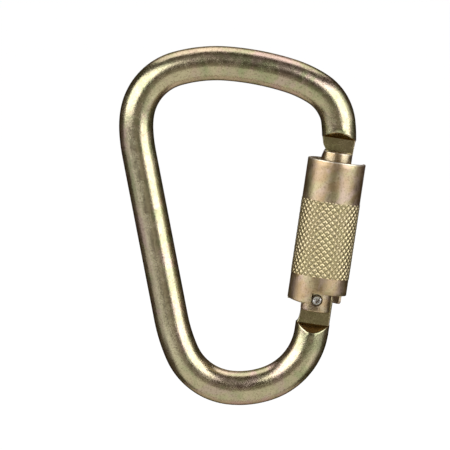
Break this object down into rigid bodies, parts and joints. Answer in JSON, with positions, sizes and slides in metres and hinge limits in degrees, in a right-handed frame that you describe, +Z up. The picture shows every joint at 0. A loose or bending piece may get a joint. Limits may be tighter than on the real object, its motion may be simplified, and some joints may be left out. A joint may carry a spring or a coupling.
{
  "type": "locking carabiner",
  "caption": "Pear-shaped steel carabiner with a hinged round gate and a knurled twist-lock sleeve, used upright to join a rope or anchor to a harness.",
  "frame": {"origin": "the inner apex of the top bow, where the carabiner bears on what it hangs from, on the bow's mid plane", "axes": "+Z up along the carabiner's length, +X from the spine to the gate, +Y away from the face that is looked at"},
  "size_m": [0.0863, 0.0206, 0.126],
  "materials": {
    "body_zinc": "iridescent yellow zinc plate, semi-bright",
    "gate_zinc": "iridescent yellow zinc plate, turned",
    "sleeve_zinc": "iridescent yellow zinc plate over a diamond knurl",
    "bare_steel": "bare bright steel",
    "spring_steel": "drawn spring wire"
  },
  "bodies": {
    "frame": {"body": "body_zinc"},
    "gate": {"gate": "gate_zinc", "hinge_rivet": "bare_steel", "latch_pin": "bare_steel", "sleeve_stop_pin": "bare_steel", "gate_spring": "spring_steel", "sleeve_spring": "spring_steel", "upper_guide_ring": "gate_zinc", "upper_retaining_ring": "spring_steel", "lower_retaining_ring": "spring_steel"},
    "sleeve": {"sleeve": "sleeve_zinc"},
    "plunger": {"gate_plunger": "bare_steel"}
  },
  "joints": [
    {"name": "gate_swing", "type": "hinge", "parent": "frame", "child": "gate", "pos_m": [0.0352, 0, -0.07658], "axis": [0, -1, 0], "range_deg": [0, 30], "stiffness_Nm_per_rad": 0.5, "springref_deg": -28.65},
    {"name": "sleeve_twist", "type": "hinge", "parent": "gate", "child": "sleeve", "pos_m": [0.0352, 0, -0.07658], "axis": [-0.1461, 0, -0.9893], "range_deg": [0, 95], "stiffness_Nm_per_rad": 0.03, "springref_deg": -28.65},
    {"name": "plunger_slide", "type": "slide", "parent": "gate", "child": "plunger", "axis": [0.1461, 0, 0.9893], "range_m": [0, 0.0012], "deforming": ["gate_spring"]}
  ],
  "couplings": [
    {"joint": "sleeve_twist", "follows": "gate_swing", "ratio": 3.16},
    {"joint": "plunger_slide", "follows": "gate_swing", "m_per_rad": 0.00229}
  ]
}
